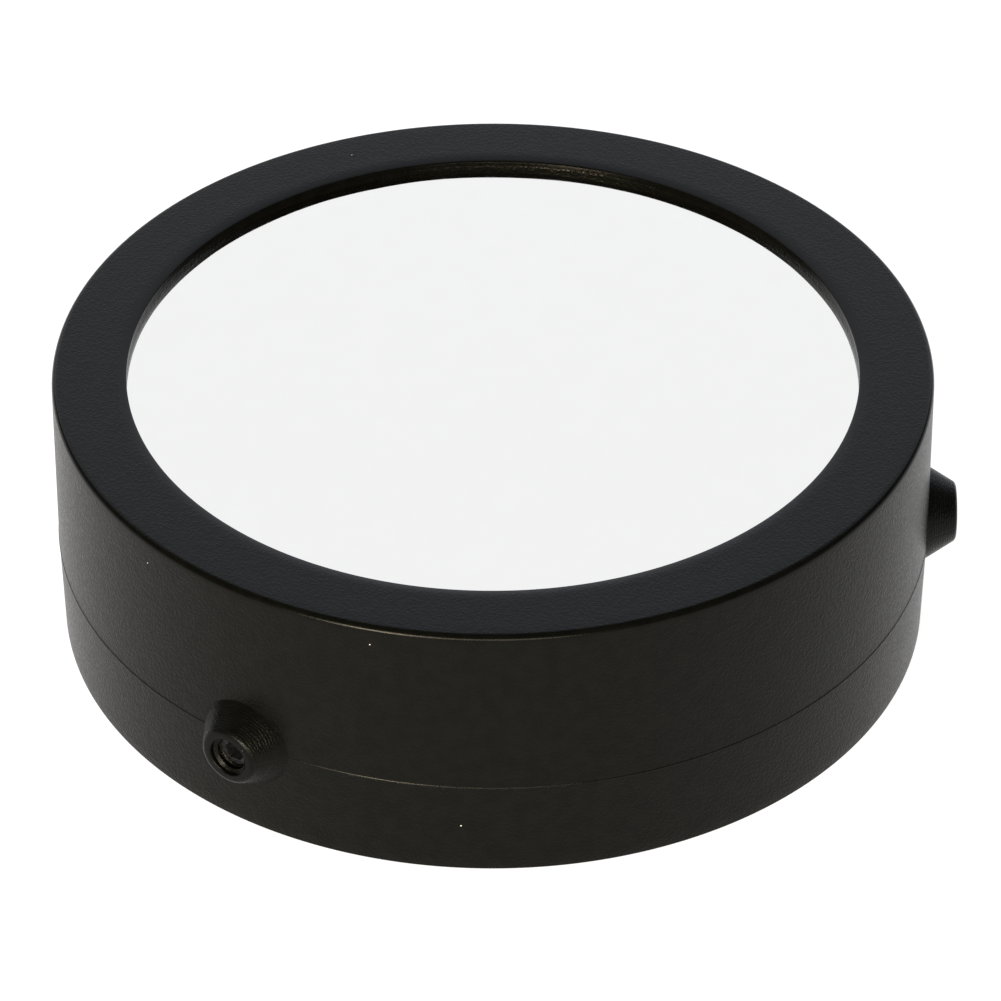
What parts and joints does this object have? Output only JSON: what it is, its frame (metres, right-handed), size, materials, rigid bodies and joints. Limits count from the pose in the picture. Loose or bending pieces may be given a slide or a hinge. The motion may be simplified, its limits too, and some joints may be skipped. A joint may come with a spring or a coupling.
{
  "type": "telescope solar filter",
  "caption": "Full-aperture solar filter cap for a small telescope: metallised film held in a moulded cell that slides over the tube and is clamped by radial grub screws.",
  "frame": {"origin": "on the cap's axis, in the plane of the open rear rim, where the tube enters the bore", "axes": "+Z along the optical axis towards the film; +X along the first clamp boss"},
  "size_m": [0.1346, 0.1304, 0.0426],
  "materials": {
    "moulded_black": "black moulded ABS with a fine leather grain",
    "metallised_film": "vacuum-metallised polymer film, mirror-bright, faintly wrinkled",
    "adhesive": "thin double-sided adhesive",
    "carrier_sheet": "die-cut black plastic sheet",
    "black_foam": "closed-cell foam",
    "ring_plastic": "smooth matt black plastic",
    "felt": "black self-adhesive felt",
    "zinc_steel": "zinc-plated steel",
    "black_steel": "black-oxide steel",
    "nylon": "natural nylon"
  },
  "bodies": {
    "cell": {"cell_body": "moulded_black", "film": "metallised_film", "adhesive_ring": "adhesive", "film_carrier": "carrier_sheet", "foam_gasket": "black_foam", "retaining_ring": "ring_plastic", "tube_stop_ring": "felt", "retaining_screw_1": "zinc_steel", "retaining_screw_2": "zinc_steel", "retaining_screw_3": "zinc_steel", "retaining_screw_4": "zinc_steel", "retaining_screw_5": "zinc_steel", "retaining_screw_6": "zinc_steel"},
    "pad_1": {"clamp_pad_1": "nylon"},
    "screw_1": {"clamp_screw_1": "black_steel"},
    "pad_2": {"clamp_pad_2": "nylon"},
    "screw_2": {"clamp_screw_2": "black_steel"},
    "pad_3": {"clamp_pad_3": "nylon"},
    "screw_3": {"clamp_screw_3": "black_steel"}
  },
  "joints": [
    {"name": "pad_1_advance", "type": "slide", "parent": "cell", "child": "pad_1", "axis": [-1, 0, 0], "range_m": [-0.001, 0.003]},
    {"name": "screw_1_turn", "type": "hinge", "parent": "pad_1", "child": "screw_1", "pos_m": [0.0634, 0, 0.0154], "axis": [-1, 0, 0], "range_deg": [-360, 1080]},
    {"name": "pad_2_advance", "type": "slide", "parent": "cell", "child": "pad_2", "axis": [0.4772, -0.8788, 0], "range_m": [-0.001, 0.003]},
    {"name": "screw_2_turn", "type": "hinge", "parent": "pad_2", "child": "screw_2", "pos_m": [-0.03025, 0.05572, 0.0154], "axis": [0.4772, -0.8788, 0], "range_deg": [-360, 1080]},
    {"name": "pad_3_advance", "type": "slide", "parent": "cell", "child": "pad_3", "axis": [0.5446, 0.8387, 0], "range_m": [-0.001, 0.003]},
    {"name": "screw_3_turn", "type": "hinge", "parent": "pad_3", "child": "screw_3", "pos_m": [-0.03453, -0.05317, 0.0154], "axis": [0.5446, 0.8387, 0], "range_deg": [-360, 1080]}
  ],
  "couplings": [
    {"joint": "screw_1_turn", "follows": "pad_1_advance", "rad_per_m": 6283.2},
    {"joint": "screw_2_turn", "follows": "pad_2_advance", "rad_per_m": 6283.2},
    {"joint": "screw_3_turn", "follows": "pad_3_advance", "rad_per_m": 6283.2}
  ]
}
